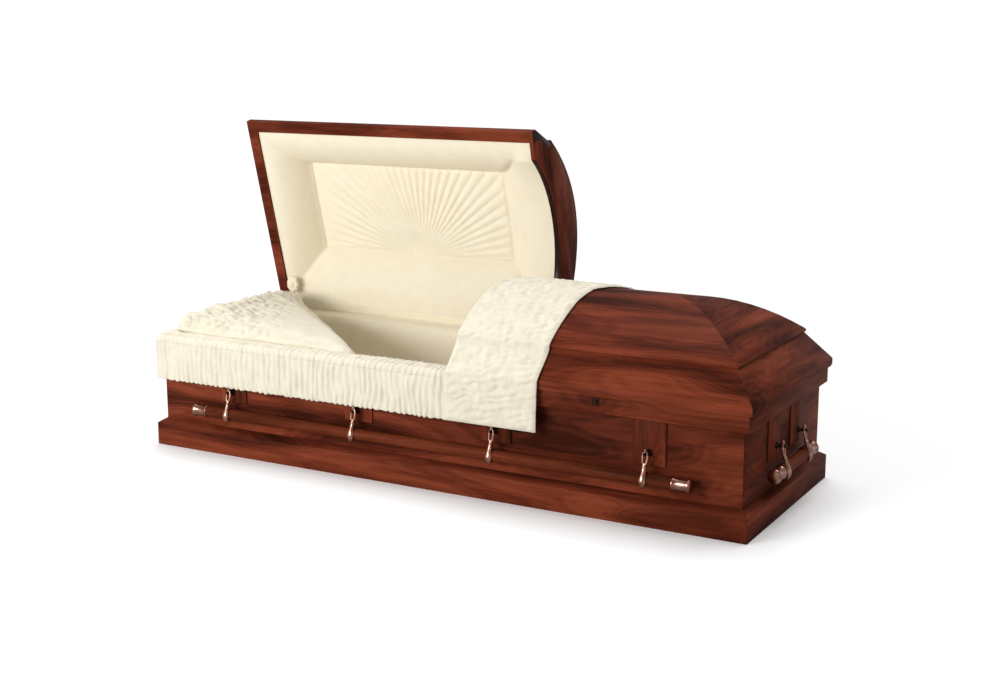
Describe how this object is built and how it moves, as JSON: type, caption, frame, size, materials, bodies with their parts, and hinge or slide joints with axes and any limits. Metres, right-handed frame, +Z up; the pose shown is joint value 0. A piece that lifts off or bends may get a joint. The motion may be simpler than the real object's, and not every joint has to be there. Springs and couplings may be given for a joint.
{
  "type": "half-couch casket",
  "caption": "Half-couch wooden casket with hinged head and foot caps, lined interior, pillow, throw and swing-bar handles.",
  "frame": {"origin": "centre of the underside of the base mouldings", "axes": "+X towards the foot end, along the length; -Y the open front; +Y the hinged back; +Z up"},
  "size_m": [2.198, 0.9221, 1.0799],
  "materials": {
    "wood": "satin lacquered red-brown stain",
    "bar_wood": "satin lacquered red-brown stain",
    "copper": "polished antique copper plate",
    "dark_metal": "dark bronzed",
    "crepe": "smooth cream crepe",
    "velvet": "soft cream velvet"
  },
  "bodies": {
    "casket": {"base_moulding_back": "wood", "base_moulding_foot_end": "wood", "base_moulding_front": "wood", "base_moulding_head_end": "wood", "bed": "crepe", "body_lining": "crepe", "cap_lock": "dark_metal", "extendover_front_flap": "velvet", "extendover_head_flap": "velvet", "extendover_roll": "velvet", "fascia_back": "wood", "fascia_foot_end": "wood", "fascia_front": "wood", "fascia_head_end": "wood", "floor_board": "wood", "foot_cap_hinge": "dark_metal", "handle_ear_back_1": "dark_metal", "handle_ear_back_2": "dark_metal", "handle_ear_back_3": "dark_metal", "handle_ear_back_4": "dark_metal", "handle_ear_foot_end_1": "dark_metal", "handle_ear_foot_end_2": "dark_metal", "handle_ear_front_1": "dark_metal", "handle_ear_front_2": "dark_metal", "handle_ear_front_3": "dark_metal", "handle_ear_front_4": "dark_metal", "handle_ear_head_end_1": "dark_metal", "handle_ear_head_end_2": "dark_metal", "head_cap_hinge": "dark_metal", "pillow": "velvet", "wall_back": "wood", "wall_back_lower": "wood", "wall_foot_end": "wood", "wall_front": "wood", "wall_front_lower": "wood", "wall_head_end": "wood"},
    "foot_cap": {"foot_cap_crown": "wood", "foot_cap_frame": "wood", "foot_cap_header": "wood", "throw": "velvet"},
    "handle_back": {"handle_arm_back_1": "copper", "handle_arm_back_2": "copper", "handle_arm_back_3": "copper", "handle_arm_back_4": "copper", "handle_bar_back": "bar_wood"},
    "handle_foot_end": {"handle_arm_foot_end_1": "copper", "handle_arm_foot_end_2": "copper", "handle_bar_foot_end": "bar_wood"},
    "handle_front": {"handle_arm_front_1": "copper", "handle_arm_front_2": "copper", "handle_arm_front_3": "copper", "handle_arm_front_4": "copper", "handle_bar_front": "bar_wood"},
    "handle_head_end": {"handle_arm_head_end_1": "copper", "handle_arm_head_end_2": "copper", "handle_bar_head_end": "bar_wood"},
    "head_cap": {"head_cap_crown": "wood", "head_cap_frame": "wood", "head_cap_header": "wood", "head_cap_lining": "crepe"}
  },
  "joints": [
    {"name": "head_cap_hinge_joint", "type": "hinge", "parent": "casket", "child": "head_cap", "pos_m": [0, 0.3625, 0.36525], "axis": [1, 0, 0], "range_deg": [0, 75.4], "deforming": ["pillow", "extendover_roll"]},
    {"name": "foot_cap_hinge_joint", "type": "hinge", "parent": "casket", "child": "foot_cap", "pos_m": [0, 0.3625, 0.36525], "axis": [-1, 0, 0], "range_deg": [0, 75.4]},
    {"name": "handle_front_swing", "type": "hinge", "parent": "casket", "child": "handle_front", "pos_m": [0.008, -0.371, 0.222], "axis": [-1, 0, 0], "range_deg": [0, 85]},
    {"name": "handle_back_swing", "type": "hinge", "parent": "casket", "child": "handle_back", "pos_m": [0.008, 0.371, 0.222], "axis": [1, 0, 0], "range_deg": [0, 85]},
    {"name": "handle_foot_end_swing", "type": "hinge", "parent": "casket", "child": "handle_foot_end", "pos_m": [1.071, 0, 0.222], "axis": [0, -1, 0], "range_deg": [0, 85]},
    {"name": "handle_head_end_swing", "type": "hinge", "parent": "casket", "child": "handle_head_end", "pos_m": [-1.071, 0, 0.222], "axis": [0, 1, 0], "range_deg": [0, 85]}
  ]
}
